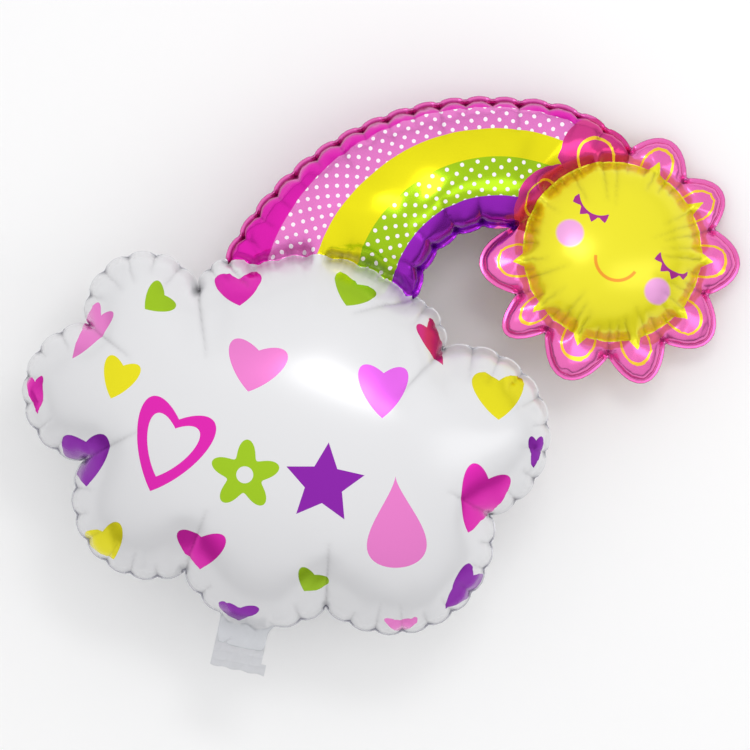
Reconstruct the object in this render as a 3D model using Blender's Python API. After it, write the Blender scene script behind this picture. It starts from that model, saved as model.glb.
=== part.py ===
"""Sun and cloud foil balloon, lying on its back.

Metres, +Z up, +Y up the printed picture, the sun towards +X. The origin is on the surface it lies on,
under the middle of the cloud and inside the flat spot of its back. Plan sizes are those of the
inflated balloon. The skin's thickness through is worked out as a gas-filled skin between its seams.
"""
import math

import bmesh
import bpy
import numpy as np
from mathutils import Vector
from mathutils.geometry import delaunay_2d_cdt

# Foil, seams and filling
SEAM_THICKNESS = 0.0026
FULLNESS = 0.76
PRESSED_FLAT = 0.003
SCALLOP_PITCH = 0.034
SCALLOP_DEPTH = 0.0035
POINTS_PER_SCALLOP = 4
SKIN_PITCH = 0.0165
SEAM_ROW_INSET = 0.009

# Cloud: lobes as circles (x, y, radius), anticlockwise from the right
CLOUD_LOBES = {
    "right": (0.222, 0.057, 0.105),
    "right shoulder": (0.126, 0.150, 0.054),
    "top": (0.035, 0.060, 0.168),
    "left shoulder": (-0.085, 0.163, 0.038),
    "upper left": (-0.180, 0.118, 0.070),
    "far left": (-0.219, 0.010, 0.083),
    "lower left": (-0.121, -0.098, 0.096),
    "bottom": (0.024, -0.108, 0.113),
    "lower right": (0.167, -0.076, 0.121),
}

# Sun: centre, disc weld, and the turns in degrees of the notches between the petals, clockwise from
# the rainbow's outer edge to its inner edge; two more petals over the rainbow's end have no edge
SUN_X = 0.354
SUN_Y = 0.311
DISC_WELD_RADIUS = 0.108
DISC_WELD_POINTS = 70
PETAL_NOTCHES = (92.0, 57.0, 25.0, -11.5, -47.5, -80.0, -117.5, -143.5, -180.0)
NOTCH_OVER_RAINBOW = -227.0
PETAL_TIP_RADIUS = 0.160
PETAL_NOTCH_RADIUS = 0.129
PETAL_LEAN = 0.006
PETAL_LEAN_TURN = 75.0
POINTS_PER_PETAL = 10
PETAL_PASSAGE_WIDTH = 0.016

# Rainbow: feet on the cloud and the points that its edges pass through; the outer edge is two arcs,
# which meet at its crown
OUTER_FOOT = (-0.096, 0.205)
OUTER_RISE = (0.022, 0.391)
OUTER_CROWN = (0.205, 0.466)
OUTER_FALL = (0.285, 0.467)
INNER_FOOT = (0.135, 0.207)
INNER_CROWN = (0.155, 0.276)
CLOUD_PASSAGE_WIDTH = 0.030
ARM_BEND = 0.030

# Foil tab of the tail, and the valve strip in its mouth
TAB_X = 0.018
TAB_WIDTH = 0.060
TAB_MOUTH_Y = -0.251
TAB_FLARE = 0.008
TAB_FLARE_DROP = 0.010
FIT_GAP = 0.0003
FILM_THICKNESS = 0.0008
FILM_WIDTH = 0.060
FILM_LENGTH = 0.027
FILM_CORNER_STEP = 0.006
FILM_CORNER_HEIGHT = 0.014
TONGUE_WIDTH = 0.048
TONGUE_LENGTH = 0.018

# Distance under which two points of the flat sheet count as one
SAME_POINT = 1e-6


def clear_scene():
    for thing in list(bpy.data.objects):
        bpy.data.objects.remove(thing, do_unlink=True)


def make_material(name, colour, roughness, metallic):
    material = bpy.data.materials.new(name)
    material.use_nodes = True
    shader = material.node_tree.nodes["Principled BSDF"]
    shader.inputs["Base Color"].default_value = (*colour, 1.0)
    shader.inputs["Roughness"].default_value = roughness
    shader.inputs["Metallic"].default_value = metallic
    return material


def add_object(name, bm, material=None):
    """Turn a bmesh into a named object with its faces pointing out."""
    bmesh.ops.recalc_face_normals(bm, faces=bm.faces)
    mesh = bpy.data.meshes.new(name)
    bm.to_mesh(mesh)
    bm.free()
    if material:
        mesh.materials.append(material)
    thing = bpy.data.objects.new(name, mesh)
    bpy.context.scene.collection.objects.link(thing)
    return thing


def scalloped_arc(centre, radius, start, sweep, side=1.0):
    """Points along an arc that bulge by one scallop after another, without the last point."""
    scallops = max(1, round(abs(sweep) * radius / SCALLOP_PITCH))
    steps = scallops * POINTS_PER_SCALLOP
    points = []
    for step in range(steps):
        angle = start + sweep * step / steps
        bulge = side * SCALLOP_DEPTH * abs(math.sin(math.pi * step / POINTS_PER_SCALLOP))
        reach = radius + bulge
        points.append((centre[0] + reach * math.cos(angle), centre[1] + reach * math.sin(angle)))
    return points


def outer_crossing(one, other):
    """The point farther from the cloud's middle where two lobe circles cross."""
    (ax, ay, ar), (bx, by, br) = one, other
    apart = math.hypot(bx - ax, by - ay)
    ux, uy = (bx - ax) / apart, (by - ay) / apart
    along = (apart**2 + ar**2 - br**2) / (2 * apart)
    across = math.sqrt(max(ar**2 - along**2, 0.0))
    crossings = [
        (ax + along * ux - side * across * uy, ay + along * uy + side * across * ux)
        for side in (-1, 1)
    ]
    return max(crossings, key=lambda point: math.hypot(*point))


def cloud_outline():
    """The cloud's seam, one scalloped arc for each lobe, anticlockwise."""
    outline = []
    lobes = list(CLOUD_LOBES.values())
    for before, lobe, after in zip(lobes[-1:] + lobes[:-1], lobes, lobes[1:] + lobes[:1]):
        x, y, radius = lobe
        begin = outer_crossing(before, lobe)
        finish = outer_crossing(lobe, after)
        start = math.atan2(begin[1] - y, begin[0] - x)
        sweep = (math.atan2(finish[1] - y, finish[0] - x) - start) % math.tau
        outline += scalloped_arc((x, y), radius, start, sweep)
    return outline


def arc_through(start, middle, end, side):
    """A scalloped arc from start to end through a middle point, both ends included."""
    ax, ay = start[0] - middle[0], start[1] - middle[1]
    bx, by = end[0] - middle[0], end[1] - middle[1]
    twice = 2 * (ax * by - ay * bx)
    a2, b2 = ax * ax + ay * ay, bx * bx + by * by
    cx, cy = (by * a2 - ay * b2) / twice, (ax * b2 - bx * a2) / twice
    centre = (middle[0] + cx, middle[1] + cy)
    radius = math.hypot(cx, cy)
    begin = math.atan2(start[1] - centre[1], start[0] - centre[0])
    sweep = -((begin - math.atan2(end[1] - centre[1], end[0] - centre[0])) % math.tau)
    return scalloped_arc(centre, radius, begin, sweep, side) + [end]


def petal_outline():
    """The free petals' seam, clockwise from the rainbow's outer edge to its inner edge."""
    points = []
    for begin, finish in zip(PETAL_NOTCHES, PETAL_NOTCHES[1:]):
        middle = (begin + finish) / 2
        lean = PETAL_LEAN * math.cos(math.radians(middle - PETAL_LEAN_TURN))
        height = PETAL_TIP_RADIUS - lean - PETAL_NOTCH_RADIUS
        for step in range(POINTS_PER_PETAL):
            share = step / POINTS_PER_PETAL
            angle = math.radians(begin + share * (finish - begin))
            reach = PETAL_NOTCH_RADIUS + height * math.sin(math.pi * share)
            points.append((SUN_X + reach * math.cos(angle), SUN_Y + reach * math.sin(angle)))
    angle = math.radians(PETAL_NOTCHES[-1])
    x = SUN_X + PETAL_NOTCH_RADIUS * math.cos(angle)
    y = SUN_Y + PETAL_NOTCH_RADIUS * math.sin(angle)
    return points + [(x, y)]


def disc_weld():
    """The ring weld's points, each with whether gas passes it into the middle of a petal."""
    notches = PETAL_NOTCHES + (NOTCH_OVER_RAINBOW, PETAL_NOTCHES[0] - 360.0)
    middles = [(begin + finish) / 2 for begin, finish in zip(notches, notches[1:])]
    points = []
    for index in range(DISC_WELD_POINTS):
        angle = index * 360.0 / DISC_WELD_POINTS
        from_middle = min(abs((angle - middle + 180.0) % 360.0 - 180.0) for middle in middles)
        open_here = math.radians(from_middle) * DISC_WELD_RADIUS < PETAL_PASSAGE_WIDTH / 2
        x = SUN_X + DISC_WELD_RADIUS * math.cos(math.radians(angle))
        y = SUN_Y + DISC_WELD_RADIUS * math.sin(math.radians(angle))
        points.append(((x, y), open_here))
    return points


def nearest(points, target):
    """Index of the point nearest to a target."""
    return min(range(len(points)), key=lambda index: math.dist(points[index], target))


def inside(outline, points):
    """Which of many points lie inside a closed outline, by the even-odd rule."""
    x, y = points[:, 0], points[:, 1]
    result = np.zeros(len(points), bool)
    for (ax, ay), (bx, by) in zip(outline, outline[1:] + outline[:1]):
        if ay != by:
            crosses = (ay > y) != (by > y)
            result ^= crosses & (x < (bx - ax) * (y - ay) / (by - ay) + ax)
    return result


def beside(line):
    """Points a little to each side of a seam line, so that the skin rises from it evenly."""
    points = []
    for before, point, after in zip(line, line[1:], line[2:]):
        along = math.dist(before, after)
        nx, ny = (before[1] - after[1]) / along, (after[0] - before[0]) / along
        for step in (-SEAM_ROW_INSET, SEAM_ROW_INSET):
            points.append((point[0] + step * nx, point[1] + step * ny))
    return points


def even_grid(low, high):
    """A grid of equal triangles over a rectangle."""
    row_pitch = SKIN_PITCH * math.sqrt(3) / 2
    points = []
    for row in range(math.ceil((high[1] - low[1]) / row_pitch)):
        shift = SKIN_PITCH / 2 * (row % 2)
        for column in range(math.ceil((high[0] - low[0]) / SKIN_PITCH)):
            points.append((low[0] + shift + column * SKIN_PITCH, low[1] + row * row_pitch))
    return points


def skin_points(outlines, lines):
    """Points of the sheet between its seams: a row beside each line, then an even grid."""
    seams = np.array([point for line in lines for point in line])
    candidates = [point for line in lines for point in beside(line)]
    candidates = np.array(candidates + even_grid(seams.min(axis=0), seams.max(axis=0)))
    candidates = candidates[np.any([inside(outline, candidates) for outline in outlines], axis=0)]
    seam_gaps = np.linalg.norm(candidates[:, None] - seams[None], axis=2).min(axis=1)
    chosen = []
    for point in candidates[seam_gaps > 0.8 * SEAM_ROW_INSET]:
        if not chosen or np.linalg.norm(np.array(chosen) - point, axis=1).min() > 0.5 * SKIN_PITCH:
            chosen.append(point)
    return [tuple(point) for point in chosen]


class FlatSheet:
    """The two foil layers before filling, as one triangulated sheet with its seams and welds."""

    def __init__(self):
        self.points = []
        self.edges = []
        self.open_points = set()

    def add_line(self, points, closed=False):
        """Add a seam line and give back its points' indices, sharing points already there."""
        indices = []
        for point in points:
            same = [i for i, old in enumerate(self.points) if math.dist(old, point) < SAME_POINT]
            if not same:
                self.points.append(point)
            indices.append(same[0] if same else len(self.points) - 1)
        following = indices[1:] + indices[:1] if closed else indices[1:]
        self.edges += zip(indices, following)
        return indices

    def triangulate(self, outlines, fill):
        """Plan points, triangles and the set of points that a seam or a weld holds shut."""
        seam_count = len(self.points)
        points = [Vector(point) for point in self.points + fill]
        result = delaunay_2d_cdt(points, self.edges, [], 0, SAME_POINT, True)
        found, triangles, sources = np.array(result[0], float), result[2], result[3]
        centres = found[np.array(triangles)].mean(axis=1)
        kept = np.any([inside(outline, centres) for outline in outlines], axis=0)
        triangles = [triangle for triangle, keep in zip(triangles, kept) if keep]
        counts = {}
        for triangle in triangles:
            for pair in zip(triangle, triangle[1:] + triangle[:1]):
                counts[frozenset(pair)] = counts.get(frozenset(pair), 0) + 1
        shut = {index for pair, count in counts.items() if count == 1 for index in pair}
        for index, origin in enumerate(sources):
            if any(i < seam_count and i not in self.open_points for i in origin):
                shut.add(index)
        return found, triangles, shut


def build_sheet():
    """Lay out every seam and weld in plan, then fill them with triangles."""
    sheet = FlatSheet()
    cloud = cloud_outline()
    petals = petal_outline()
    outer_foot, inner_foot = nearest(cloud, OUTER_FOOT), nearest(cloud, INNER_FOOT)
    rise = arc_through(cloud[outer_foot], OUTER_RISE, OUTER_CROWN, 1.0)
    outer_edge = rise + arc_through(OUTER_CROWN, OUTER_FALL, petals[0], 1.0)[1:]
    inner_edge = arc_through(cloud[inner_foot], INNER_CROWN, petals[-1], -1.0)
    arm = outer_edge + petals[1:] + inner_edge[-2::-1]
    foot_weld = cloud[inner_foot + 1:outer_foot]

    cloud_ids = sheet.add_line(cloud, closed=True)
    passage = foot_weld[len(foot_weld) // 2]
    for index, point in zip(cloud_ids, cloud):
        if math.dist(point, passage) < CLOUD_PASSAGE_WIDTH / 2:
            sheet.open_points.add(index)
    sheet.add_line(arm)
    weld = disc_weld()
    weld_ids = sheet.add_line([point for point, _ in weld], closed=True)
    sheet.open_points.update(i for i, (_, open_here) in zip(weld_ids, weld) if open_here)

    x, y, radius = CLOUD_LOBES["bottom"]
    left, right = TAB_X - TAB_WIDTH / 2, TAB_X + TAB_WIDTH / 2
    left_root = cloud[nearest(cloud, (left, y - math.sqrt(radius**2 - (left - x) ** 2)))]
    flared = right + TAB_FLARE
    right_root = cloud[nearest(cloud, (flared, y - math.sqrt(radius**2 - (flared - x) ** 2)))]
    flare_end = (right, right_root[1] - TAB_FLARE_DROP)
    tab = [left_root, (left, TAB_MOUTH_Y), (right, TAB_MOUTH_Y), flare_end, right_root]
    sheet.add_line(tab)
    arm_area = arm + foot_weld
    ring = [point for point, _ in weld]
    fill = skin_points([cloud, arm_area], [cloud + cloud[:2], arm, ring + ring[:2]])
    return (*sheet.triangulate([cloud, arm_area, tab], fill), cloud)


def skin_swell(points, triangles, shut):
    """Half thickness over the seam's own at each point of the sheet filled with gas.

    The skin's height squared follows the stretched-membrane equation, zero along seams and welds.
    """
    corners = points[np.array(triangles)]
    sides = np.stack([corners[:, 2] - corners[:, 1], corners[:, 0] - corners[:, 2],
                      corners[:, 1] - corners[:, 0]], axis=1)
    areas = 0.5 * np.abs(sides[:, 0, 0] * sides[:, 1, 1] - sides[:, 0, 1] * sides[:, 1, 0])
    stiffness = np.zeros((len(points), len(points)))
    load = np.zeros(len(points))
    index = np.array(triangles)
    for i in range(3):
        np.add.at(load, index[:, i], areas / 3)
        for j in range(3):
            coupling = (sides[:, i] * sides[:, j]).sum(axis=1) / (4 * areas)
            np.add.at(stiffness, (index[:, i], index[:, j]), coupling)
    free = np.array([i for i in range(len(points)) if i not in shut])
    height = np.zeros(len(points))
    height[free] = np.linalg.solve(stiffness[np.ix_(free, free)], load[free])
    return FULLNESS * np.sqrt(np.maximum(2 * height, 0.0))


def middle_heights(points, half, cloud):
    """Height of the seam plane: level through the cloud, sloping down until the sun rests too."""
    x, y, radius = CLOUD_LOBES["top"]
    beyond = np.maximum(np.hypot(points[:, 0] - x, points[:, 1] - y) - radius, 0.0)
    in_cloud = inside(cloud, points) | (points[:, 0] < TAB_X + TAB_WIDTH) & (points[:, 1] < 0.0)
    beyond[in_cloud] = 0.0
    run = np.sqrt(beyond**2 + ARM_BEND**2) - ARM_BEND
    level = half[in_cloud].max() - PRESSED_FLAT
    arm = run > ARM_BEND
    slope = ((level + PRESSED_FLAT - half[arm]) / run[arm]).min()
    return level - max(slope, 0.0) * run, level


def build_envelope(points, triangles, half, middle, material):
    """Both foil layers, joined by the seam all round, filled and pressed flat where they rest."""
    bm = bmesh.new()
    half_layer = bm.verts.layers.float.new("half_thickness")
    middle_layer = bm.verts.layers.float.new("middle_height")
    used = sorted({index for triangle in triangles for index in triangle})
    verts = {}
    for index in used:
        verts[index] = bm.verts.new((*points[index], 0.0))
        verts[index][half_layer] = half[index]
        verts[index][middle_layer] = middle[index]
    for triangle in triangles:
        bm.faces.new([verts[index] for index in triangle])
    lifted = bmesh.ops.extrude_face_region(bm, geom=bm.faces[:])["geom"]
    front = {part for part in lifted if isinstance(part, bmesh.types.BMVert)}
    for vert in bm.verts:
        side = 1.0 if vert in front else -1.0
        vert.co.z = max(vert[middle_layer] + side * vert[half_layer], 0.0)
    envelope = add_object("foil_envelope", bm, material)
    envelope.data.shade_smooth()
    envelope.data.set_sharp_from_angle(angle=math.radians(60))
    return envelope


def extrude_outline(name, outline, low, high, material=None):
    """A flat plate from a closed outline, between two heights."""
    bm = bmesh.new()
    face = bm.faces.new([bm.verts.new((x, y, low)) for x, y in outline])
    lifted = bmesh.ops.extrude_face_region(bm, geom=[face])["geom"]
    upper = [part for part in lifted if isinstance(part, bmesh.types.BMVert)]
    bmesh.ops.translate(bm, verts=upper, vec=(0.0, 0.0, high - low))
    return add_object(name, bm, material)


def rectangle(width, bottom, top):
    left, right = TAB_X - width / 2, TAB_X + width / 2
    return [(left, bottom), (right, bottom), (right, top), (left, top)]


def build_valve(level, material):
    """The film strip: a tongue between the foil layers, and the wider end that sticks out."""
    top = TAB_MOUTH_Y - FIT_GAP
    bottom = top - FILM_LENGTH
    left, right = TAB_X - FILM_WIDTH / 2, TAB_X + FILM_WIDTH / 2
    tongue_left, tongue_right = TAB_X - TONGUE_WIDTH / 2, TAB_X + TONGUE_WIDTH / 2
    tongue_top = TAB_MOUTH_Y + TONGUE_LENGTH
    step_top = bottom + FILM_CORNER_HEIGHT
    outline = [
        (left, bottom),
        (right, bottom),
        (right, step_top - FILM_CORNER_STEP),
        (right + FILM_CORNER_STEP, step_top),
        (right, step_top),
        (right, top),
        (tongue_right, top),
        (tongue_right, tongue_top),
        (tongue_left, tongue_top),
        (tongue_left, top),
        (left, top),
    ]
    half = FILM_THICKNESS / 2
    return extrude_outline("filling_valve", outline, level - half, level + half, material)


def cut_mouth(envelope, level):
    """Open the tab's mouth for the tongue, with a clearance all round it."""
    width = TONGUE_WIDTH + 2 * FIT_GAP
    outline = rectangle(width, TAB_MOUTH_Y - TONGUE_LENGTH, TAB_MOUTH_Y + TONGUE_LENGTH + FIT_GAP)
    half = FILM_THICKNESS / 2 + FIT_GAP
    cutter = extrude_outline("mouth_cutter", outline, level - half, level + half)
    cutter.hide_render = True
    cutter.display_type = "WIRE"
    cut = envelope.modifiers.new("mouth", "BOOLEAN")
    cut.operation = "DIFFERENCE"
    cut.object = cutter


clear_scene()
foil = make_material("printed_foil", (0.80, 0.80, 0.82), 0.18, 0.0)
film = make_material("valve_film", (0.78, 0.79, 0.80), 0.40, 0.0)
plan, faces, held_shut, cloud_seam = build_sheet()
half_thickness = SEAM_THICKNESS / 2 + skin_swell(plan, faces, held_shut)
seam_heights, cloud_level = middle_heights(plan, half_thickness, cloud_seam)
skin = build_envelope(plan, faces, half_thickness, seam_heights, foil)
cut_mouth(skin, cloud_level)
build_valve(cloud_level, film)
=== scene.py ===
import math
import random

import bmesh
import bpy
import numpy as np
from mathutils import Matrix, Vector
from mathutils.bvhtree import BVHTree


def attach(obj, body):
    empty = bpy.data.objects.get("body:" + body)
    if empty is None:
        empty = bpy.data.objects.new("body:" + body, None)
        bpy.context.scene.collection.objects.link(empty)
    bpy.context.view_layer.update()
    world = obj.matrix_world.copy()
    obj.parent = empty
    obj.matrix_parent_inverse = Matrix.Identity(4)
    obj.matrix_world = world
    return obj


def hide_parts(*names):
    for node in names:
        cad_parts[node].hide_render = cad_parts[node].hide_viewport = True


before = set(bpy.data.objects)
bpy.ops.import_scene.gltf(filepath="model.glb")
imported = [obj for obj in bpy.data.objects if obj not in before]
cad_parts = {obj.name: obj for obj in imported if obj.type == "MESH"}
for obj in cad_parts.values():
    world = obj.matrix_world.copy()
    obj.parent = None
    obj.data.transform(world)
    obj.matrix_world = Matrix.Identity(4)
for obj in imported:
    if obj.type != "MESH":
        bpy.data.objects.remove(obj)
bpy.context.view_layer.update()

# Foil skin: two sheets of metallised film welded together along the outline, along the foot of the
# rainbow and round the sun's disc. The model's front layer is taken, mirrored for the back, given the
# flat welded margin and filled again as cloth under pressure, so that the film puckers at the welds.
CLOUD_MARGIN = 0.0018
ARM_MARGIN = 0.0060
WELD_HALF_GAP = 0.0005
TAB_HALF_GAP = 0.0009
SEALED_THICKNESS = 0.0028
FACES_UP = 1e-3
SAME_PLACE = 1e-5
SAME_COLUMN = 5 * SAME_PLACE
LARGEST_LOOSE_SCRAP = 200
TOP_LOBE = Vector((0.035, 0.060))
TOP_LOBE_RADIUS = 0.168
PASSAGE_HALF_WIDTH = 0.040
PASSAGE_START = -0.0015
CORNER_BELOW_Y = 0.2
ARM_BEND = 0.030
SUN = Vector((0.354, 0.311))
DISC_RADIUS = 0.108
PETAL_NOTCHES = (92.0, 57.0, 25.0, -11.5, -47.5, -80.0, -117.5, -143.5, -180.0, -227.0)
TAB_TOP_Y = -0.212
CLOUD, ARM, DISC, TAB, MARGIN = range(5)

film = bmesh.new()
film.from_mesh(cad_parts["foil_envelope"].data)
bmesh.ops.remove_doubles(film, verts=film.verts, dist=SAME_PLACE)
film.normal_update()
sealed_of = film.verts.layers.int.new("sealed")
region_of = film.faces.layers.int.new("region")
front_of = film.faces.layers.int.new("front")
sheet_uv = film.loops.layers.uv.new("sheet")
petal_uv = film.loops.layers.uv.new("petal")
under = {}
for vert in film.verts:
    column = (round(vert.co.x / SAME_COLUMN), round(vert.co.y / SAME_COLUMN))
    under.setdefault(column, []).append(vert)
seam_points = []
for stack in under.values():
    heights = [vert.co.z for vert in stack]
    if len(stack) > 1 and max(heights) - min(heights) < SEALED_THICKNESS:
        seam_points.append(Vector((*stack[0].co.xy, (max(heights) + min(heights)) / 2)))
        for vert in stack:
            vert[sealed_of] = 1
not_front = [face for face in film.faces if face.normal.z < FACES_UP]
bmesh.ops.delete(film, geom=not_front, context="FACES")


def connected(start, may_cross):
    """Faces reached from one face over the edges that may be crossed, in the order they are reached."""
    found, waiting = {start: True}, [start]
    while waiting:
        for edge in waiting.pop().edges:
            if may_cross(edge):
                fresh = [face for face in edge.link_faces if face not in found]
                found.update(dict.fromkeys(fresh, True))
                waiting += fresh
    return found


scraps, seen = [], {}
for face in film.faces:
    if face not in seen:
        patch = connected(face, lambda edge: True)
        seen.update(patch)
        if len(patch) < LARGEST_LOOSE_SCRAP:
            scraps += patch
bmesh.ops.delete(film, geom=scraps, context="FACES")


def beyond_top_lobe(place):
    """How far a point lies outside the round cloud lobe that the rainbow comes out of."""
    return (place.xy - TOP_LOBE).length - TOP_LOBE_RADIUS


def arm_run(place):
    """How far a point lies along the arm that slopes down from the cloud to the sun."""
    return math.hypot(max(beyond_top_lobe(place), 0.0), ARM_BEND) - ARM_BEND


def stays_in_cloud(edge):
    """Whether the cloud's gas space goes on over an edge; the passage to the rainbow ends it."""
    middle = (edge.verts[0].co + edge.verts[1].co) / 2
    in_passage = abs(middle.x - TOP_LOBE.x) < PASSAGE_HALF_WIDTH and middle.y > TOP_LOBE.y
    past = in_passage and beyond_top_lobe(middle) > PASSAGE_START
    return not past and not all(vert[sealed_of] for vert in edge.verts)


tab_foot = min(seam_points, key=lambda point: point.y)
arm_tip = max(seam_points, key=lambda point: point.x)
seam_level = tab_foot.z
arm_slope = (seam_level - arm_tip.z) / arm_run(arm_tip)
cloud_middle = min(film.faces, key=lambda face: face.calc_center_median().xy.length)
cloud_faces = connected(cloud_middle, stays_in_cloud)
for face in film.faces:
    centre = face.calc_center_median().xy
    all_corners_in_cloud = all(
        any(near in cloud_faces for near in vert.link_faces) for vert in face.verts
    )
    if face in cloud_faces:
        face[region_of] = CLOUD
    elif centre.y < TAB_TOP_Y:
        face[region_of] = TAB
    elif (centre - SUN).length < DISC_RADIUS:
        face[region_of] = DISC
    elif all_corners_in_cloud and (beyond_top_lobe(centre) < 0 or centre.y < CORNER_BELOW_Y):
        face[region_of] = CLOUD
    else:
        face[region_of] = ARM
    face[front_of] = 1
cad_half = max(vert.co.z for vert in film.verts) - seam_level
for vert in film.verts:
    regions = {face[region_of] for face in vert.link_faces}
    on_arm = ARM in regions or DISC in regions
    level = seam_level - arm_slope * arm_run(vert.co) if on_arm else seam_level
    weld_half = TAB_HALF_GAP if regions == {TAB} else WELD_HALF_GAP
    vert.co.z = weld_half if vert[sealed_of] else max(vert.co.z - level, weld_half)

# Creases start where the rim turns in, at each valley between two scallops and at each deep notch, and
# round the two inner welds: the sun's disc and the foot of the rainbow
CREASE_GROWTH = 14.0
CREASE_LENGTH_SPREAD = (0.6, 1.5)
CREASE_DEPTH = 1.0
DEEPEST_CREASE = 0.0032
SHALLOWEST_VALLEY = 0.0009
LONGEST_CREASE = 0.085
DISC_CREASES = 44
DISC_CREASE_SHORTEST = 0.012
DISC_CREASE_GROWTH = 0.050
DISC_CREASE_DEPTHS = (0.0014, 0.0026)
FOOT_CREASES = 26
FOOT_STARTS_AT = 50
FOOT_SWEEP = 95
FOOT_CREASE_LENGTHS = (0.010, 0.030)
FOOT_CREASE_DEPTH = 0.0012
LOBE_CREASE_DEPTH = 0.0007
PLACE_SPREAD = (-0.3, 0.3)

rim_edges = [edge for edge in film.edges if edge.is_boundary]
inward, margin = {}, {}
for edge in rim_edges:
    one, other = edge.verts
    across = Vector((one.co.y - other.co.y, other.co.x - one.co.x)).normalized()
    if across.dot(edge.link_faces[0].calc_center_median().xy - one.co.xy) < 0:
        across.negate()
    for vert in edge.verts:
        inward[vert] = inward.get(vert, Vector((0.0, 0.0))) + across
        margin[vert] = ARM_MARGIN if edge.link_faces[0][region_of] == ARM else CLOUD_MARGIN
chance = random.Random(11)
creases = []
for vert, direction in inward.items():
    direction.normalize()
    beside = [edge.other_vert(vert).co.xy for edge in vert.link_edges if edge.is_boundary]
    sag = direction.dot(vert.co.xy - (beside[0] + beside[1]) / 2)
    if sag > SHALLOWEST_VALLEY and vert.co.y > TAB_TOP_Y:
        length = min(CREASE_GROWTH * sag * chance.uniform(*CREASE_LENGTH_SPREAD), LONGEST_CREASE)
        crease_depth = min(CREASE_DEPTH * sag, DEEPEST_CREASE)
        creases.append((vert.co.xy.copy(), direction.copy(), length, crease_depth))
for step in range(DISC_CREASES):
    turn = math.tau * (step + chance.uniform(*PLACE_SPREAD)) / DISC_CREASES
    outward = Vector((math.cos(turn), math.sin(turn)))
    length = DISC_CREASE_SHORTEST + DISC_CREASE_GROWTH * chance.random() ** 2
    crease_depth = chance.uniform(*DISC_CREASE_DEPTHS)
    creases.append((SUN + DISC_RADIUS * outward, -outward, length, crease_depth))
for step in range(FOOT_CREASES):
    turn = math.radians(FOOT_STARTS_AT + FOOT_SWEEP * (step + chance.uniform(*PLACE_SPREAD)) / FOOT_CREASES)
    outward = Vector((math.cos(turn), math.sin(turn)))
    length = chance.uniform(*FOOT_CREASE_LENGTHS)
    foot = TOP_LOBE + TOP_LOBE_RADIUS * outward
    creases.append((foot, outward, length, FOOT_CREASE_DEPTH))
    creases.append((foot, -outward, length, LOBE_CREASE_DEPTH))
grown = bmesh.ops.extrude_edge_only(film, edges=rim_edges)["geom"]
grown_faces = {part for part in grown if isinstance(part, bmesh.types.BMFace)}
for part in grown:
    if isinstance(part, bmesh.types.BMFace):
        neighbours = {near for edge in part.edges for near in edge.link_faces}
        beside = {near[region_of] for near in neighbours - grown_faces}
        part[region_of] = TAB if TAB in beside else ARM if ARM in beside else MARGIN
    elif isinstance(part, bmesh.types.BMVert) and part.co.z < TAB_HALF_GAP:
        part.co.z = 0.0
for face in film.faces:
    face[front_of] = 1
for vert, direction in inward.items():
    vert.co.xy += margin[vert] * direction.normalized()

back = bmesh.ops.duplicate(film, geom=film.verts[:] + film.edges[:] + film.faces[:])["geom"]
for part in back:
    if isinstance(part, bmesh.types.BMVert):
        part.co.z = -part.co.z
    elif isinstance(part, bmesh.types.BMFace):
        part[front_of] = 0
rim = [vert for vert in film.verts if vert.co.z == 0.0]
bmesh.ops.remove_doubles(film, verts=rim, dist=SAME_PLACE)
open_edges = [edge for edge in film.edges if edge.is_boundary]
mouth = bmesh.ops.holes_fill(film, edges=open_edges)["faces"]
for face in bmesh.ops.triangulate(film, faces=mouth)["faces"]:
    face[region_of] = TAB
bmesh.ops.recalc_face_normals(film, faces=film.faces)
bmesh.ops.subdivide_edges(film, edges=film.edges, cuts=1, use_grid_fill=True)


def place_of(part):
    """Where a corner, the middle of an edge or the middle of a face lies."""
    if isinstance(part, bmesh.types.BMVert):
        return tuple(part.co)
    if isinstance(part, bmesh.types.BMEdge):
        return tuple(part.verts[0].co + part.verts[1].co)
    return tuple(part.calc_center_median())


for parts in (film.verts, film.edges, film.faces):
    for number, part in enumerate(sorted(parts, key=place_of)):
        part.index = number
    parts.sort()

rounds = [notch - turn for turn in (360.0, 0.0, -360.0) for notch in reversed(PETAL_NOTCHES)]
numbers = range(-len(PETAL_NOTCHES), 2 * len(PETAL_NOTCHES))
for face in film.faces:
    outward = face.calc_center_median().xy - SUN
    face_turn = math.degrees(math.atan2(outward.y, outward.x))
    for loop in face.loops:
        place = loop.vert.co.xy
        turn = face_turn + math.degrees((place - SUN).angle_signed(outward, 0.0))
        loop[sheet_uv].uv = place
        loop[petal_uv].uv = (np.interp(turn, rounds, numbers), (place - SUN).length)

# Filling: the film is cut larger than the filled outline, most of all at the seams, where it puckers.
# Gas pressure rounds it out while the welds hold, and its height is then set to the solid's.
SPARE_AT_SEAM = 0.18
SPARE_IN_MIDDLE = 0.02
SPARE_REACH = 0.030
SEAM_HOLD = 1.0
FILM_STIFFNESS = 40.0
GAS_PRESSURE = 8.0
FILL_FRAMES = 30
FLAT_HALF_HEIGHT = TAB_HALF_GAP * 1.01

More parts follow.
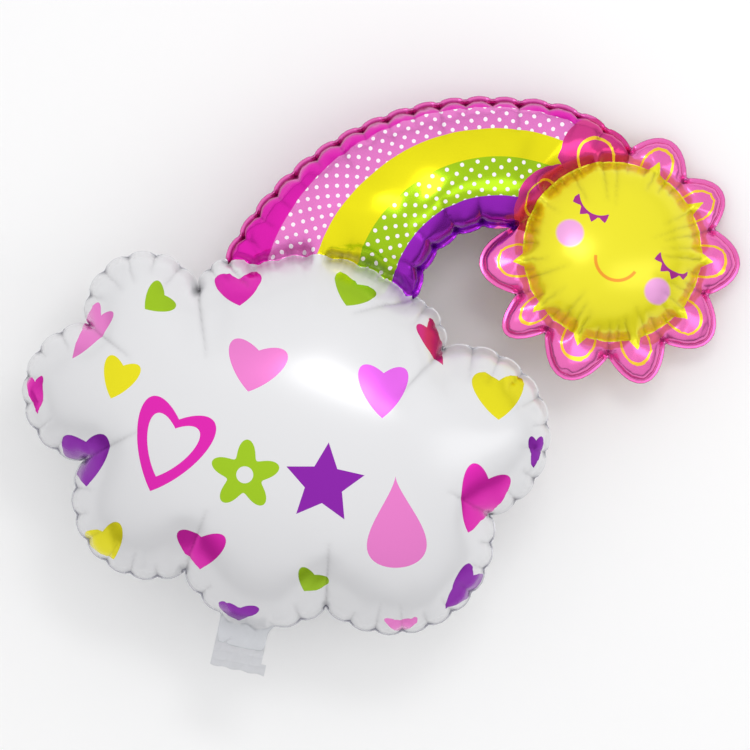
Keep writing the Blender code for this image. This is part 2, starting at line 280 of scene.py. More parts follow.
from_weld = film.verts.layers.float.new("from_weld")
from_rim = film.verts.layers.float.new("from_rim")
film.verts.ensure_lookup_table()
film.verts.index_update()
welded = [vert for vert in film.verts if abs(vert.co.z) < FLAT_HALF_HEIGHT]
walls, rim_walls, posts = [], [], []
for edge in film.edges:
    if all(abs(vert.co.z) < FLAT_HALF_HEIGHT for vert in edge.verts):
        one, other = (vert.co.xy for vert in edge.verts)
        posts += [(*one, -1.0), (*other, -1.0), (*other, 1.0), (*one, 1.0)]
        walls.append(range(len(posts) - 4, len(posts)))
        if all(vert.co.z == 0.0 for vert in edge.verts):
            rim_walls.append(walls[-1])
seam_fence = BVHTree.FromPolygons(posts, walls)
rim_fence = BVHTree.FromPolygons(posts, rim_walls)
for vert in film.verts:
    vert[from_weld] = seam_fence.find_nearest((*vert.co.xy, 0.0))[3]
    vert[from_rim] = rim_fence.find_nearest((*vert.co.xy, 0.0))[3]
skin_mesh = bpy.data.meshes.new("foil_skin")
film.to_mesh(skin_mesh)
skin = bpy.data.objects.new("foil_skin", skin_mesh)
bpy.context.scene.collection.objects.link(skin)
spare_group = skin.vertex_groups.new(name="spare_film")
hold_group = skin.vertex_groups.new(name="held")
for vert in film.verts:
    spare_group.add([vert.index], math.exp(-((vert[from_weld] / SPARE_REACH) ** 2)), "REPLACE")
hold_group.add([vert.index for vert in welded], SEAM_HOLD, "REPLACE")

filling = skin.modifiers.new("filling", "CLOTH")
filling.settings.quality = 6
filling.settings.mass = 0.3
filling.settings.tension_stiffness = FILM_STIFFNESS
filling.settings.compression_stiffness = FILM_STIFFNESS
filling.settings.shear_stiffness = FILM_STIFFNESS
filling.settings.bending_stiffness = 0.5
filling.settings.air_damping = 1.0
filling.settings.vertex_group_mass = hold_group.name
filling.settings.vertex_group_shrink = spare_group.name
filling.settings.shrink_min = -SPARE_IN_MIDDLE
filling.settings.shrink_max = -SPARE_AT_SEAM
filling.settings.use_pressure = True
filling.settings.uniform_pressure_force = GAS_PRESSURE
filling.settings.effector_weights.gravity = 0.0
filling.collision_settings.use_collision = False
filling.point_cache.frame_start = 1
filling.point_cache.frame_end = FILL_FRAMES
for step in range(1, FILL_FRAMES + 1):
    bpy.context.scene.frame_set(step)
filled = skin.evaluated_get(bpy.context.evaluated_depsgraph_get()).data
for vert, moved in zip(skin_mesh.vertices, filled.vertices):
    vert.co = moved.co
skin.modifiers.remove(filling)
bpy.context.scene.frame_set(1)
film_half = max(vert.co.z for vert in skin_mesh.vertices)
for flat, vert in zip(film.verts, skin_mesh.vertices):
    on_arm = any(face[region_of] in (ARM, DISC) for face in flat.link_faces)
    level = seam_level - arm_slope * arm_run(flat.co) if on_arm else seam_level
    vert.co.z = max(level + vert.co.z * cad_half / film_half, 0.0)
film.free()

# Creases: pressed into the filled film as grooves that start sharply at the weld and die out inwards.
# The tail's foil tab has no gas in it, so it only ripples.
CREASE_HALF_WIDTH = 0.0016
CREASE_SLOPE_WIDTH = 0.0060
FINE_MESH_FROM = 0.0005
SMOOTHINGS = 2
CALM_FROM = 0.014
CALMINGS = 14
CREASE_SIDE_REACH = 0.015
GROOVE_SHARE = 0.6
SIDE_PROBE = 0.006
TAB_RIPPLE = 0.0006
TAB_RIPPLE_START = 0.012


def pressed_depths(verts, uv, region):
    """How far the creases press in each corner of the filled film, and where the folds are sharp."""
    flat = np.array([vert.link_loops[0][uv].uv for vert in verts])
    in_disc = np.array([any(face[region] == DISC for face in vert.link_faces) for vert in verts])
    depth, sharp = np.zeros(len(flat)), np.zeros(len(flat))
    for start, direction, length, crease_depth in creases:
        offset = flat - np.array(start)
        run = offset @ np.array(direction)
        side = np.abs(offset @ np.array(direction.orthogonal()))
        on_disc = (start + direction * SIDE_PROBE - SUN).length < DISC_RADIUS
        near = (in_disc == on_disc) & (run > -0.001) & (run < length) & (side < CREASE_SIDE_REACH)
        fade = np.sqrt(1.0 - np.clip(run[near], 0.0, None) / length)
        groove = np.exp(-side[near] / CREASE_HALF_WIDTH)
        slope = np.exp(-((side[near] / CREASE_SLOPE_WIDTH) ** 2))
        profile = GROOVE_SHARE * groove + (1 - GROOVE_SHARE) * slope
        depth[near] = np.maximum(depth[near], crease_depth * fade * profile)
        sharp[near] = np.maximum(sharp[near], fade * groove * min(crease_depth / DEEPEST_CREASE, 1.0))
    return depth, sharp


creased = bmesh.new()
creased.from_mesh(skin_mesh)
bmesh.ops.subdivide_edges(creased, edges=creased.edges, cuts=1, use_grid_fill=True)
for step in range(SMOOTHINGS):
    bmesh.ops.smooth_vert(creased, verts=creased.verts, factor=0.5, use_axis_x=True, use_axis_y=True,
                          use_axis_z=True)
weld_gap = creased.verts.layers.float["from_weld"]
open_film = [vert for vert in creased.verts if vert[weld_gap] > CALM_FROM]
for step in range(CALMINGS):
    bmesh.ops.smooth_vert(creased, verts=open_film, factor=0.5, use_axis_x=True, use_axis_y=True,
                          use_axis_z=True)
creased_uv = creased.loops.layers.uv["sheet"]
creased_region = creased.faces.layers.int["region"]
creased_front = creased.faces.layers.int["front"]
depths, _ = pressed_depths(creased.verts, creased_uv, creased_region)
creased.verts.index_update()
fine = [edge for edge in creased.edges if edge.link_faces[0][creased_front]
        and min(depths[vert.index] for vert in edge.verts) > FINE_MESH_FROM]
bmesh.ops.subdivide_edges(creased, edges=fine, cuts=1, use_grid_fill=True)
in_tab = [edge for edge in creased.edges
          if all(face[creased_region] == TAB for face in edge.link_faces)]
bmesh.ops.subdivide_edges(creased, edges=in_tab, cuts=2, use_grid_fill=True)
bmesh.ops.triangulate(creased, faces=creased.faces)
creased.normal_update()
depths, folds = pressed_depths(creased.verts, creased_uv, creased_region)
# The fold attribute marks the sharp creases; the print materials use it as the mask of their painted shade.
fold_of = creased.verts.layers.float.new("fold")
for vert, depth, fold in zip(creased.verts, depths, folds):
    x, y = vert.link_loops[0][creased_uv].uv
    if all(face[creased_region] == TAB for face in vert.link_faces):
        slack = math.sin(210 * x + 60 * y) + 0.7 * math.sin(340 * x - 190 * y + 1.0)
        vert.co.z += TAB_RIPPLE * slack * min((TAB_TOP_Y - y) / TAB_RIPPLE_START, 1.0)
    else:
        vert[fold_of] = fold
        vert.co -= vert.normal * depth
        vert.co.z = max(vert.co.z, 0.0)
creased.to_mesh(skin_mesh)
creased.free()

skin_mesh.shade_smooth()
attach(skin, "root")
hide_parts("foil_envelope")


def srgb(red, green, blue):
    """An eight-bit colour as the linear values that shaders read."""
    return tuple(
        channel / 255 / 12.92 if channel <= 10 else ((channel / 255 + 0.055) / 1.055) ** 2.4
        for channel in (red, green, blue)
    ) + (1.0,)


class Value:
    """A number at a point of the sheet, so that a print's outline is written as a formula."""

    def __init__(self, tree, socket):
        self.tree, self.socket = tree, socket

    def math(self, operation, *others, clamp=False):
        node = self.tree.nodes.new("ShaderNodeMath")
        node.operation = operation
        node.use_clamp = clamp
        for socket, value in zip(node.inputs, (self, *others)):
            if isinstance(value, Value):
                self.tree.links.new(value.socket, socket)
            else:
                socket.default_value = value
        return Value(self.tree, node.outputs[0])

    def __add__(self, other):
        return self.math("ADD", other)

    def __sub__(self, other):
        return self.math("SUBTRACT", other)

    def __mul__(self, other):
        return self.math("MULTIPLY", other)

    def __truediv__(self, other):
        return self.math("DIVIDE", other)

    def __lt__(self, other):
        return self.math("LESS_THAN", other)

    def __gt__(self, other):
        return self.math("GREATER_THAN", other)

    def cos(self):
        return self.math("COSINE")

    def sin(self):
        return self.math("SINE")

    def root(self):
        return self.math("SQRT")

    def size(self):
        return self.math("ABSOLUTE")

    def wrapped(self):
        """Distance to the nearest whole number, with its sign."""
        return (self + 0.5).math("FRACT") - 0.5

    def softly_below(self, limit, blur):
        """One well below a limit, falling to nothing over the blur's width."""
        return ((self * -1.0 + limit) / blur + 0.5).math("ADD", 0.0, clamp=True)

    def either(self, other):
        return self.math("MAXIMUM", other)


def start_material(name, roughness, metallic):
    """A material, its tree and the two plan coordinates of the flat sheet, in metres."""
    material = bpy.data.materials.new(name)
    material.use_nodes = True
    tree = material.node_tree
    shader = tree.nodes["Principled BSDF"]
    shader.inputs["Roughness"].default_value = roughness
    shader.inputs["Metallic"].default_value = metallic
    place = tree.nodes.new("ShaderNodeUVMap")
    place.uv_map = "sheet"
    split = tree.nodes.new("ShaderNodeSeparateXYZ")
    tree.links.new(place.outputs["UV"], split.inputs[0])
    return material, tree, shader, Value(tree, split.outputs[0]), Value(tree, split.outputs[1])


def paint(tree, below, mask, colour):
    """Lay one ink over what is below it where the mask is one."""
    mix = tree.nodes.new("ShaderNodeMix")
    mix.data_type = "RGBA"
    tree.links.new(mask.socket, mix.inputs["Factor"])
    for socket, source in ((mix.inputs["A"], below), (mix.inputs["B"], colour)):
        if isinstance(source, tuple):
            socket.default_value = source
        else:
            tree.links.new(source, socket)
    return mix.outputs["Result"]


# Painted shade in folds: a dark tint multiplied into the ink where the fold attribute marks a sharp crease.
FOLD_SHADE_TINT = (0.22, 0.20, 0.22, 1.0)

fold_shade = bpy.data.node_groups.new("fold_shade", "ShaderNodeTree")
fold_shade.interface.new_socket("Ink", in_out="INPUT", socket_type="NodeSocketColor")
fold_shade.interface.new_socket("Share", in_out="INPUT", socket_type="NodeSocketFloat")
fold_shade.interface.new_socket("Shaded Ink", in_out="OUTPUT", socket_type="NodeSocketColor")
shade_inputs = fold_shade.nodes.new("NodeGroupInput")
shade_outputs = fold_shade.nodes.new("NodeGroupOutput")
fold_depth = fold_shade.nodes.new("ShaderNodeAttribute")
fold_depth.attribute_name = "fold"
fold_shade_share = fold_shade.nodes.new("ShaderNodeMath")
fold_shade_share.operation = "MULTIPLY"
fold_shade_mix = fold_shade.nodes.new("ShaderNodeMix")
fold_shade_mix.data_type = "RGBA"
fold_shade_mix.blend_type = "MULTIPLY"
fold_shade_mix.inputs["B"].default_value = FOLD_SHADE_TINT
fold_shade.links.new(fold_depth.outputs["Fac"], fold_shade_share.inputs[0])
fold_shade.links.new(shade_inputs.outputs["Share"], fold_shade_share.inputs[1])
fold_shade.links.new(fold_shade_share.outputs[0], fold_shade_mix.inputs["Factor"])
fold_shade.links.new(shade_inputs.outputs["Ink"], fold_shade_mix.inputs["A"])
fold_shade.links.new(fold_shade_mix.outputs["Result"], shade_outputs.inputs["Shaded Ink"])


def painted_fold_shade(tree, colour, share):
    """Painted shade: the ink darkened in the depth of a sharp fold."""
    shaded = tree.nodes.new("ShaderNodeGroup")
    shaded.node_tree = fold_shade
    shaded.inputs["Share"].default_value = share
    tree.links.new(colour, shaded.inputs["Ink"])
    return shaded.outputs["Shaded Ink"]


WHITE = srgb(226, 226, 228)
MAGENTA = srgb(226, 30, 178)
PINK = srgb(236, 128, 205)
LILAC = srgb(236, 105, 240)
YELLOW = srgb(236, 226, 20)
GREEN = srgb(160, 200, 25)
VIOLET = srgb(140, 25, 170)
ROSE = srgb(214, 40, 130)


def local_axes(x, y, centre, turn, half_width, half_height):
    """Coordinates of a motif, from -1 to 1 over its width and height."""
    dx, dy = x - centre[0], y - centre[1]
    cos, sin = math.cos(math.radians(turn)), math.sin(math.radians(turn))
    across = (dx * cos + dy * sin) / half_width
    up = (dy * cos - dx * sin) / half_height
    return across, up


def heart(across, up):
    lifted = up * 1.17 + 0.17 - across.size() * 0.9
    return (across * across + lifted * lifted) < 1.0


def star(across, up):
    reach = (across * across + up * up).root()
    turn = (across.math("ARCTAN2", up) * (5 / math.tau)).wrapped() * (math.tau / 5)
    return reach * (turn.cos() + turn.size().sin() * 2.2) < 1.0


def flower(across, up):
    reach = (across * across + up * up).root()
    turn = across.math("ARCTAN2", up)
    edge = (turn * 5.0).cos() * 0.24 + 0.76
    return (reach < edge) * (reach > 0.24)


def drop(across, up):
    edge = (up * -1.0 + 1.0) * (up * up * -1.0 + 1.0).math("MAXIMUM", 0.0).root() * 0.77
    return across.size() < edge


def heart_outline(across, up):
    return heart(across, up) * (heart(across * 1.5, (up - 0.02) * 1.5) * -1.0 + 1.0)


# Cloud print: glossy inks on the white coat of the front sheet, hearts all round and four larger motifs
# across the middle. Each has its centre, width, height, turn and ink, in metres and degrees.
FILM_ROUGHNESS = 0.25
CLOUD_METAL = 0.12
INK_METAL = 0.5
# How strongly painted shade darkens the cloud's inks in sharp folds
CLOUD_FOLD_SHADE_SHARE = 0.5
CLOUD_MOTIFS = (
    (heart, (-0.166, 0.133), 0.040, 0.034, -38, GREEN),
    (heart, (-0.074, 0.168), 0.056, 0.040, 18, MAGENTA),
    (heart, (0.059, 0.192), 0.052, 0.034, -14, GREEN),
    (heart, (0.165, 0.156), 0.026, 0.056, 38, ROSE),
    (heart, (-0.034, 0.080), 0.070, 0.058, -2, PINK),
    (heart, (0.118, 0.085), 0.060, 0.062, 10, LILAC),
    (heart, (0.254, 0.109), 0.064, 0.054, 10, YELLOW),
    (heart, (0.311, 0.054), 0.020, 0.038, 12, VIOLET),
    (heart, (0.258, -0.016), 0.060, 0.080, -8, MAGENTA),
    (heart, (0.262, -0.124), 0.036, 0.060, -25, VIOLET),
    (heart, (0.201, -0.181), 0.038, 0.020, 18, PINK),
    (heart, (0.084, -0.154), 0.040, 0.028, -18, GREEN),
    (heart, (0.008, -0.208), 0.050, 0.022, 8, VIOLET),
    (heart, (-0.050, -0.145), 0.060, 0.046, 10, MAGENTA),
    (heart, (-0.162, -0.161), 0.050, 0.042, 32, YELLOW),
    (heart, (-0.208, -0.071), 0.060, 0.062, 14, VIOLET),
    (heart, (-0.283, -0.008), 0.024, 0.044, 14, MAGENTA),
    (heart, (-0.187, 0.032), 0.044, 0.048, -8, YELLOW),
    (heart, (-0.236, 0.078), 0.032, 0.072, -20, PINK),
    (heart_outline, (-0.113, -0.035), 0.092, 0.106, -10, MAGENTA),
    (flower, (-0.018, -0.044), 0.082, 0.082, 8, GREEN),
    (star, (0.074, -0.034), 0.096, 0.096, 6, VIOLET),
    (drop, (0.166, -0.060), 0.070, 0.108, 14, PINK),
)

cloud_print, tree, shader, x, y = start_material("cloud_front_print", FILM_ROUGHNESS, 0.0)
colour, ink = WHITE, None
for outline_of, centre, width, height, turn, tint in CLOUD_MOTIFS:
    mask = outline_of(*local_axes(x, y, centre, turn, width / 2, height / 2))
    colour = paint(tree, colour, mask, tint)
    ink = ink.either(mask) if ink else mask
tree.links.new(painted_fold_shade(tree, colour, CLOUD_FOLD_SHADE_SHARE), shader.inputs["Base Color"])
tree.links.new((ink * INK_METAL + CLOUD_METAL).socket, shader.inputs["Metallic"])

# Rainbow and petal print: clear inks over the bare metal of the film, so that they mirror strongly, with
# opaque white dots. The bands are circles in plan (centre, radius, ink), from the outside in.
ARM_ROUGHNESS = 0.20
ARM_METAL = 0.85
# How strongly painted shade darkens the rainbow's and petals' inks in sharp folds
ARM_FOLD_SHADE_SHARE = 0.7
RAINBOW_VIOLET = srgb(152, 35, 188)
BANDS = (
    ((0.229, 0.1725), 0.281, PINK),
    ((0.234, 0.201), 0.2275, YELLOW),
    ((0.235, 0.217), 0.1783, GREEN),
    ((0.235, 0.216), 0.1333, RAINBOW_VIOLET),
)
DOT_RADIUS = 0.0024
DOT_ROW = 0.0085
DOTS_ROUND_PINK = 95
PINK_DOTS_CENTRE = (0.231, 0.187)
DOTS_ROUND_GREEN = 58
GREEN_DOTS_CENTRE = (0.235, 0.2165)
PETAL_TIP = 0.164
PETAL_NOTCH = 0.130
DISC_EDGE = 0.109
FREE_PETAL_EXTRA = 0.012
SHORTER_PETAL = 1.0
CONTOUR_HALF_WIDTH = 0.27
CONTOUR_HEIGHT = 0.029
CONTOUR_HALF_LINE = 0.07
CONTOUR = srgb(250, 205, 60)
RAY_HEIGHT = 0.013
RAY_SLOPE = 0.11
RAY_LOWER_ON_RAINBOW = 0.02
FOOT_BLUR = 0.010
# Painted shade at the foot and root of the petals, next to the disc
FOOT_SHADE_SHARE = 0.35
ROOT_SHADE_HEIGHT = 0.012
ROOT_SHADE_BLUR = 0.024
DULLER_NEAR_DISC = 0.55
PETALS = 10.0
PETAL_PINK = srgb(238, 110, 185)
PETAL_OVER_RAINBOW = srgb(215, 60, 140)
# Colours of the painted shade at the petals' foot and root
PETAL_FOOT_SHADE = srgb(230, 85, 160)
PETAL_ROOT_SHADE = srgb(190, 25, 80)
DOT_WHITE = srgb(250, 240, 248)
# Painted sheen and painted shade along the rainbow's outer rim
RIM_SHEEN_PINK = srgb(232, 120, 185)
RIM_SHEEN_WIDTH = 0.0042
RIM_SHEEN_BLUR = 0.002
RIM_SHEEN_SHARE = 0.8
RIM_SHADE = srgb(150, 0, 85)
SHADE_FROM_RIM = 0.0068
SHADE_HALF_WIDTH = 0.0040

arm_print, tree, shader, x, y = start_material("rainbow_and_petal_print", ARM_ROUGHNESS, ARM_METAL)


def reach_from(x, y, centre):
    dx, dy = x - centre[0], y - centre[1]
    return (dx * dx + dy * dy).root(), dy.math("ARCTAN2", dx)


def dots(x, y, centre, count):
    """Staggered dots in rows that follow the arc."""
    reach, turn = reach_from(x, y, centre)
    row = reach / DOT_ROW
    stagger = row.math("FLOOR").math("MODULO", 2.0) * 0.5
    along = (turn * (count / math.tau) + stagger).wrapped() * reach * (math.tau / count)
    across = (row.math("FRACT") - 0.5) * DOT_ROW
    return (along * along + across * across).root() < DOT_RADIUS


colour = MAGENTA
masks = []
for centre, radius, tint in BANDS:
    mask = reach_from(x, y, centre)[0] < radius
    masks.append(mask)
    colour = paint(tree, colour, mask, tint)
pink_band = masks[0] * (masks[1] * -1.0 + 1.0)
green_band = masks[2] * (masks[3] * -1.0 + 1.0)
pink_dots = dots(x, y, PINK_DOTS_CENTRE, DOTS_ROUND_PINK) * pink_band
green_dots = dots(x, y, GREEN_DOTS_CENTRE, DOTS_ROUND_GREEN) * green_band
all_dots = pink_dots.either(green_dots)
colour = paint(tree, colour, all_dots, DOT_WHITE)
# Painted shade and sheen on the rainbow's outer flange: a dark maroon band of painted shade where the film
# dips from the flat weld into the body, and lighter pink painted sheen on the flat flange itself.
rim = tree.nodes.new("ShaderNodeAttribute")
rim.attribute_name = "from_rim"
rim_gap = Value(tree, rim.outputs["Fac"])
outer_strip = masks[0] * -1.0 + 1.0
in_shade = ((rim_gap - SHADE_FROM_RIM) / SHADE_HALF_WIDTH).size().softly_below(0.5, 1.0)
colour = paint(tree, colour, in_shade * outer_strip, RIM_SHADE)
rim_sheen = rim_gap.softly_below(RIM_SHEEN_WIDTH, RIM_SHEEN_BLUR) * outer_strip * RIM_SHEEN_SHARE
colour = paint(tree, colour, rim_sheen, RIM_SHEEN_PINK)

petal_place = tree.nodes.new("ShaderNodeUVMap")
petal_place.uv_map = "petal"
petal_axes = tree.nodes.new("ShaderNodeSeparateXYZ")
tree.links.new(petal_place.outputs["UV"], petal_axes.inputs[0])
petal, reach = Value(tree, petal_axes.outputs[0]), Value(tree, petal_axes.outputs[1])
shorter = (petal.math("FLOORED_MODULO", PETALS) < 1.0) * SHORTER_PETAL + 1.0
reach = (reach - DISC_EDGE) * shorter + DISC_EDGE
from_middle = (petal + 0.5).wrapped()
petal_edge = (from_middle * math.pi).cos() * (PETAL_TIP - PETAL_NOTCH) + PETAL_NOTCH
over_rainbow = (petal + 1.0).math("FLOORED_MODULO", PETALS) < 2.0
petal_mask = reach < (petal_edge + FREE_PETAL_EXTRA) - over_rainbow * FREE_PETAL_EXTRA
petal_colour = paint(tree, PETAL_PINK, over_rainbow, PETAL_OVER_RAINBOW)
# Painted shade at the foot of the petals beside the bulging disc: a light touch on every petal, and a deep
# red painted shade on the two petals over the rainbow.
foot_shade_mask = reach.softly_below(DISC_EDGE + 0.001, FOOT_BLUR) * FOOT_SHADE_SHARE
petal_colour = paint(tree, petal_colour, foot_shade_mask, PETAL_FOOT_SHADE)
root_shade_mask = reach.softly_below(DISC_EDGE + ROOT_SHADE_HEIGHT, ROOT_SHADE_BLUR) * over_rainbow
petal_colour = paint(tree, petal_colour, root_shade_mask, PETAL_ROOT_SHADE)
side, out = from_middle / CONTOUR_HALF_WIDTH, (reach - DISC_EDGE) / CONTOUR_HEIGHT
contour = ((side * side + out * out).root() - 1.0).size() < CONTOUR_HALF_LINE
petal_colour = paint(tree, petal_colour, contour, CONTOUR)
ray_edge = from_middle.size() * -RAY_SLOPE + (DISC_EDGE + RAY_HEIGHT)
ray_edge = ray_edge - over_rainbow * RAY_LOWER_ON_RAINBOW
petal_colour = paint(tree, petal_colour, reach < ray_edge.math("MAXIMUM", DISC_EDGE), YELLOW)
colour = paint(tree, colour, petal_mask, petal_colour)
tree.links.new(painted_fold_shade(tree, colour, ARM_FOLD_SHADE_SHARE), shader.inputs["Base Color"])
white_ink = all_dots * (petal_mask * -1.0 + 1.0)
duller = reach.softly_below(DISC_EDGE + FOOT_BLUR, FOOT_BLUR) * DULLER_NEAR_DISC
tree.links.new(((white_ink * -ARM_METAL + ARM_METAL) - duller).socket, shader.inputs["Metallic"])

# Sun print: a sleeping face in opaque inks on the yellow disc, tilted to one side. An eye is an arc with
# a row of pointed lashes below it, a cheek is a soft round spot and the smile is a thin arc.
SUN_METAL = 0.22
# How strongly painted shade darkens the sun's inks in sharp folds
SUN_FOLD_SHADE_SHARE = 0.7
FACE_TILT = -22
EYES = ((0.318, 0.354), (0.426, 0.309))
EYE_ARC_RADIUS = 0.0245
EYE_ARC_RISE = 0.018
EYE_HALF_ANGLE = 58
EYE_LINE = 0.0028
LASHES = 4
LASH_LENGTH = 0.0080
EYE_INK = srgb(168, 25, 138)
CHEEKS = (((0.299, 0.320), 0.016), ((0.415, 0.276), 0.0155))
CHEEK_BLUR = 0.003
CHEEK_INK = srgb(238, 165, 222)
SMILE_CENTRE = (0.360, 0.303)
SMILE_RADIUS = 0.026
SMILE_HALF_ANGLE = 76
SMILE_LINE = 0.0038
SMILE_TURN = 12
SMILE_INK = srgb(236, 150, 15)

sun_print, tree, shader, x, y = start_material("sun_face_print", FILM_ROUGHNESS, SUN_METAL)
colour = YELLOW
for centre, radius in CHEEKS:
    cheek = reach_from(x, y, centre)[0].softly_below(radius, CHEEK_BLUR)
    colour = paint(tree, colour, cheek, CHEEK_INK)
tilt = math.radians(FACE_TILT)
up = Vector((-math.sin(tilt), math.cos(tilt)))
for eye in EYES:
    middle = Vector(eye) + up * EYE_ARC_RISE
    across, rise = local_axes(x, y, tuple(middle), FACE_TILT, 1.0, 1.0)
    reach = (across * across + rise * rise).root()
    swing = across.math("ARCTAN2", rise * -1.0) / math.radians(EYE_HALF_ANGLE)
    inside_ends = swing.size() < 1.0
    line = (reach - EYE_ARC_RADIUS).size() < (swing * swing * -0.6 + 1.2) * (EYE_LINE / 2)
    tooth = (swing * (LASHES / 2) + LASHES / 2).math("FRACT") - 0.5
    lash_tip = (tooth.size() * -2.0 + 1.0) * LASH_LENGTH + EYE_ARC_RADIUS
    lashes = (reach < lash_tip) * (reach > EYE_ARC_RADIUS)
    colour = paint(tree, colour, line.either(lashes) * inside_ends, EYE_INK)
across, rise = local_axes(x, y, SMILE_CENTRE, FACE_TILT + SMILE_TURN, 1.0, 1.0)
reach = (across * across + rise * rise).root()
swing = across.math("ARCTAN2", rise * -1.0) / math.radians(SMILE_HALF_ANGLE)
smile = ((reach - SMILE_RADIUS).size() < SMILE_LINE / 2) * (swing.size() < 1.0)
colour = paint(tree, colour, smile, SMILE_INK)
tree.links.new(painted_fold_shade(tree, colour, SUN_FOLD_SHADE_SHARE), shader.inputs["Base Color"])

# Plain film: the back sheet has the same coats without a print, the lower welded margin shows bare
# silver and the tail's tab is greyer. Each face of the skin then takes its own film.
SILVER_BELOW_Y = -0.03

cloud_back, _, shader, _, _ = start_material("cloud_back_white", FILM_ROUGHNESS, CLOUD_METAL)
shader.inputs["Base Color"].default_value = WHITE
sun_back, _, shader, _, _ = start_material("sun_back_yellow", FILM_ROUGHNESS, SUN_METAL)
shader.inputs["Base Color"].default_value = YELLOW
bare_foil, _, shader, _, _ = start_material("bare_silver_foil", 0.22, 1.0)
shader.inputs["Base Color"].default_value = srgb(205, 205, 210)
tab_foil, _, shader, _, _ = start_material("grey_tab_foil", 0.28, 0.35)
shader.inputs["Base Color"].default_value = srgb(203, 205, 209)

films = [cloud_print, arm_print, sun_print, cloud_back, sun_back, bare_foil, tab_foil]
for material in films:
    skin_mesh.materials.append(material)
region_values = skin_mesh.attributes["region"].data
front_values = skin_mesh.attributes["front"].data
for face in skin_mesh.polygons:
    region, front = region_values[face.index].value, front_values[face.index].value
    if region == CLOUD:
        own_film = cloud_print if front else cloud_back
    elif region == ARM:
        own_film = arm_print
    elif region == DISC:
        own_film = sun_print if front else sun_back
    elif region == TAB:
        own_film = tab_foil
    elif face.center.y < SILVER_BELOW_Y or not front:
        own_film = bare_foil
    else:
        own_film = cloud_print
    face.material_index = films.index(own_film)

# Filling valve: a strip of thin milky film that comes out of the tail's mouth between the two sheets. It
# is cut square with one corner standing out, creased across from folding and rippled along its length.
STRIP_LEFT = -0.012
STRIP_RIGHT = 0.048
STRIP_TOP = -0.240
STRIP_END = -0.2780
STRIP_CORNER = 0.006
STRIP_CORNER_TOP = -0.2655
STRIP_HALF_THICKNESS = 0.00035
STRIP_PITCH = 0.0010
STRIP_RIPPLE = 0.0009
STRIP_CREASES = (-0.2585, -0.2690)

strip = bmesh.new()
columns = round((STRIP_RIGHT + STRIP_CORNER - STRIP_LEFT) / STRIP_PITCH)
rows = round((STRIP_TOP - STRIP_END) / STRIP_PITCH)
bmesh.ops.create_grid(strip, x_segments=columns, y_segments=rows, size=0.5)
for vert in strip.verts:
    vert.co.x = STRIP_LEFT + (vert.co.x + 0.5) * (STRIP_RIGHT + STRIP_CORNER - STRIP_LEFT)
    vert.co.y = STRIP_END + (vert.co.y + 0.5) * (STRIP_TOP - STRIP_END)
spare = [face for face in strip.faces if face.calc_center_median().x > STRIP_RIGHT
         and face.calc_center_median().y > STRIP_CORNER_TOP]
bmesh.ops.delete(strip, geom=spare, context="FACES")
for vert in strip.verts:
    x, y = vert.co.xy
    free = min((STRIP_TOP - y) / 0.014, 1.0)
    wave = math.sin(230 * x + 40 * y) + 0.5 * math.sin(520 * x - 160 * y + 0.7)
    crease = sum(math.exp(-abs(y - line - 0.04 * (x - 0.018)) / 0.0008) for line in STRIP_CREASES)
    vert.co.z = seam_level + free * (STRIP_RIPPLE * wave * 0.6 + 0.0009 * crease)
    vert.co.y += 0.0007 * math.sin(310 * x) * max(0.0, (STRIP_TOP - y) / (STRIP_TOP - STRIP_END)) ** 4
bmesh.ops.solidify(strip, geom=strip.faces[:], thickness=2 * STRIP_HALF_THICKNESS)
bmesh.ops.recalc_face_normals(strip, faces=strip.faces)
strip_mesh = bpy.data.meshes.new("valve_strip")
strip.to_mesh(strip_mesh)
strip.free()
strip_mesh.shade_smooth()
valve_strip = bpy.data.objects.new("valve_strip", strip_mesh)
bpy.context.scene.collection.objects.link(valve_strip)
valve_film = bpy.data.materials.new("milky_valve_film")
valve_film.use_nodes = True
shader = valve_film.node_tree.nodes["Principled BSDF"]
shader.inputs["Base Color"].default_value = srgb(226, 227, 230)
shader.inputs["Roughness"].default_value = 0.30
shader.inputs["Transmission Weight"].default_value = 0.45
shader.inputs["IOR"].default_value = 1.3
strip_mesh.materials.append(valve_film)
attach(valve_strip, "root")
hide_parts("filling_valve")

# Floor and studio light: a pale matt floor, one softbox above the top of the print, a weaker one at the
# side and a soft sky that is darker towards the floor
FLOOR_SIZE = 12.0
bpy.ops.mesh.primitive_plane_add(size=FLOOR_SIZE)
floor = bpy.context.object
floor.name = "studio_floor"
floor_paint = bpy.data.materials.new("pale_floor")
floor_paint.use_nodes = True
floor_paint.node_tree.nodes["Principled BSDF"].inputs["Base Color"].default_value = srgb(250, 250, 250)
floor_paint.node_tree.nodes["Principled BSDF"].inputs["Roughness"].default_value = 0.9
floor.data.materials.append(floor_paint)

PHOTO_TURN = math.radians(12.5)
VIEW_CENTRE = Vector((0.1061, 0.1034, seam_level))
VIEW_WIDTH = 0.900
VIEW_DISTANCE = 9.0
picture_up = Vector((-math.sin(PHOTO_TURN), math.cos(PHOTO_TURN), 0.0))
picture_right = Vector((math.cos(PHOTO_TURN), math.sin(PHOTO_TURN), 0.0))


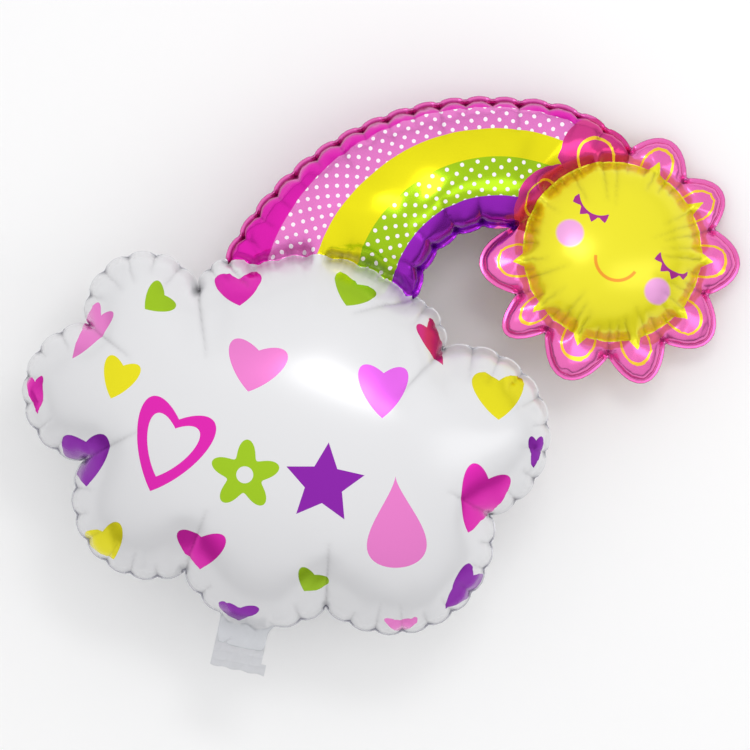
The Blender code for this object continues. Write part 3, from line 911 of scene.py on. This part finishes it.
def softbox(name, toward, distance, width, height, power):
    """An area light that faces the balloon from a direction."""
    lamp = bpy.data.lights.new(name, "AREA")
    lamp.shape = "RECTANGLE"
    lamp.size, lamp.size_y, lamp.energy = width, height, power
    light = bpy.data.objects.new(name, lamp)
    light.location = VIEW_CENTRE + toward.normalized() * distance
    light.rotation_euler = toward.to_track_quat("Z", "Y").to_euler()
    bpy.context.scene.collection.objects.link(light)


vertical = Vector((0.0, 0.0, 1.0))
key_side = vertical + picture_up * 0.46 + picture_right * 0.22
softbox("key_softbox", key_side, distance=2.2, width=0.8, height=0.4, power=5.5)
fill_side = vertical * 0.8 + picture_right
softbox("fill_softbox", fill_side, distance=2.6, width=0.8, height=1.4, power=4.0)

world = bpy.data.worlds.new("soft_studio")
bpy.context.scene.world = world
world.use_nodes = True
sky = world.node_tree
direction = sky.nodes.new("ShaderNodeTexCoord")
height = sky.nodes.new("ShaderNodeVectorMath")
height.operation = "DOT_PRODUCT"
height.inputs[1].default_value = (vertical + picture_up * 0.2).normalized()
shade = sky.nodes.new("ShaderNodeValToRGB")
shade.color_ramp.elements[0].color = (0.16, 0.16, 0.17, 1.0)
shade.color_ramp.elements[0].position = 0.02
shade.color_ramp.elements[1].color = (1.0, 1.0, 1.0, 1.0)
shade.color_ramp.elements[1].position = 0.9
middle_sky = shade.color_ramp.elements.new(0.30)
middle_sky.color = (0.86, 0.86, 0.87, 1.0)
sky.links.new(direction.outputs["Generated"], height.inputs[0])
sky.links.new(height.outputs["Value"], shade.inputs[0])
sky.links.new(shade.outputs[0], sky.nodes["Background"].inputs["Color"])

# Camera: straight above the balloon and turned as in the photograph
camera = bpy.data.objects.new("camera", bpy.data.cameras.new("camera"))
bpy.context.scene.collection.objects.link(camera)
camera.location = VIEW_CENTRE + vertical * VIEW_DISTANCE
camera.rotation_euler = (0.0, 0.0, PHOTO_TURN)
camera.data.sensor_width = 36.0
camera.data.lens = camera.data.sensor_width * VIEW_DISTANCE / VIEW_WIDTH
camera.data.clip_end = 50.0
bpy.context.scene.camera = camera
bpy.context.scene.view_settings.view_transform = "Standard"
